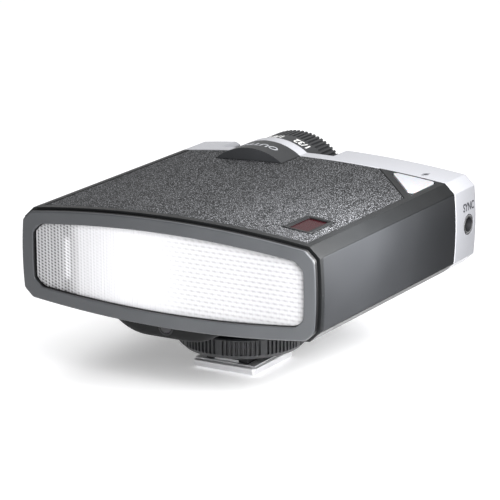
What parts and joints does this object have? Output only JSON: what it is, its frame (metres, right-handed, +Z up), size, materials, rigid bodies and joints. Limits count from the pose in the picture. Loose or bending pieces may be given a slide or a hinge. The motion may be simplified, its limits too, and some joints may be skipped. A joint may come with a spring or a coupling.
{
  "type": "speedlight flash",
  "caption": "Compact retro shoe-mounted flash with an arched body, prism lens, power dial, test button, sync socket and clamping foot.",
  "frame": {"origin": "centre of the underside of the accessory-shoe foot", "axes": "+Z up, -Y the way the lens fires, +X to the sync socket's side"},
  "size_m": [0.086, 0.0906, 0.05],
  "materials": {
    "bezel_grey": "satin moulded ABS",
    "lens_acrylic": "clear moulded prism sheet",
    "reflector_bright": "bright anodised sheet",
    "tube_glass": "clear glass",
    "silicone": "matt silicone",
    "shell_black": "fine-textured ABS",
    "leatherette": "embossed grain",
    "panel_satin": "satin lacquer",
    "window_red": "tinted acrylic",
    "silver_paint": "silver lacquer on ABS",
    "dial_black": "moulded ABS",
    "spun_aluminium": "spun",
    "steel": "nickel plated",
    "switch_plastic": "moulded",
    "button_white": "translucent white acrylic",
    "key_grey": "soft satin",
    "lamp_clear": "clear",
    "circuit_board": "solder mask",
    "capacitor_can": "sleeved can",
    "ferrite": "sintered",
    "copper_winding": "enamelled wire",
    "cell_jacket": "printed film",
    "sensor_dark": "dark clear resin",
    "foot_metal": "nickel plated",
    "contact_gold": "gold plated"
  },
  "bodies": {
    "housing": {"front_bezel": "bezel_grey", "fresnel_lens": "lens_acrylic", "reflector": "reflector_bright", "flash_tube": "tube_glass", "tube_boots": "silicone", "top_cover": "shell_black", "bottom_cover": "shell_black", "leatherette_top": "leatherette", "side_panel": "panel_satin", "slave_window": "window_red", "slave_sensor": "sensor_dark", "dial_hood": "dial_black", "rear_housing": "silver_paint", "rotary_switch": "switch_plastic", "test_switch": "switch_plastic", "test_board": "circuit_board", "key_switches": "switch_plastic", "mode_lamps": "lamp_clear", "control_board": "circuit_board", "power_switch_frame": "switch_plastic", "sync_socket": "switch_plastic", "main_board": "circuit_board", "main_capacitor": "capacitor_can", "transformer_core": "ferrite", "transformer_coil": "copper_winding", "trigger_coil": "copper_winding", "power_transistor": "switch_plastic", "battery_tray": "shell_black", "battery_cells": "cell_jacket", "battery_plates": "steel", "battery_springs": "steel", "door_hinge_pin": "steel", "shoe_pedestal": "shell_black", "auto_sensor_lens": "sensor_dark", "auto_sensor_ring": "switch_plastic", "shoe_neck": "shell_black", "foot_plate": "foot_metal", "shoe_shim": "steel", "contact_insulator": "switch_plastic", "contact_spring": "steel", "housing_screws": "steel", "pedestal_screws": "steel", "foot_screws": "steel"},
    "dial": {"power_dial": "dial_black", "dial_cap": "spun_aluminium", "dial_shaft": "steel"},
    "lock_ring": {"lock_ring": "dial_black"},
    "clamp_collar": {"clamp_collar": "dial_black"},
    "test_button": {"test_button": "button_white", "test_plunger": "switch_plastic"},
    "mode_button": {"mode_button": "key_grey"},
    "lamp_button": {"lamp_button": "lamp_clear"},
    "power_switch": {"power_switch_knob": "key_grey"},
    "battery_door": {"battery_door": "shell_black"},
    "contact_pin": {"contact_pin": "contact_gold"}
  },
  "joints": [
    {"name": "dial_turn", "type": "hinge", "parent": "housing", "child": "dial", "pos_m": [-0.0129, 0.04665, 0.0333], "axis": [0, 1, 0], "range_deg": [-180, 0]},
    {"name": "lock_ring_turn", "type": "hinge", "parent": "housing", "child": "lock_ring", "pos_m": [0, 0, 0.008], "axis": [0, 0, 1], "range_deg": [0, 300]},
    {"name": "clamp_slide", "type": "slide", "parent": "housing", "child": "clamp_collar", "axis": [0, 0, -1], "range_m": [0, 0.0012]},
    {"name": "test_press", "type": "slide", "parent": "housing", "child": "test_button", "axis": [0, 0, -1], "range_m": [0, 0.0008], "stiffness_N_per_m": 500, "springref_m": -0.0012},
    {"name": "mode_press", "type": "slide", "parent": "housing", "child": "mode_button", "axis": [0, -1, 0], "range_m": [0, 0.0006], "stiffness_N_per_m": 500, "springref_m": -0.001},
    {"name": "lamp_press", "type": "slide", "parent": "housing", "child": "lamp_button", "axis": [0, -1, 0], "range_m": [0, 0.0006], "stiffness_N_per_m": 500, "springref_m": -0.001},
    {"name": "power_slide", "type": "slide", "parent": "housing", "child": "power_switch", "axis": [1, 0, 0], "range_m": [0, 0.003]},
    {"name": "door_swing", "type": "hinge", "parent": "housing", "child": "battery_door", "pos_m": [-0.0414, 0.0088, 0.0243], "axis": [0, -1, 0], "range_deg": [0, 95]},
    {"name": "contact_press", "type": "slide", "parent": "housing", "child": "contact_pin", "axis": [0, 0, 1], "range_m": [0, 0.0004], "stiffness_N_per_m": 250, "springref_m": -0.001, "deforming": ["contact_spring"]}
  ],
  "couplings": [
    {"joint": "clamp_slide", "follows": "lock_ring_turn", "m_per_rad": 0.00022918}
  ]
}
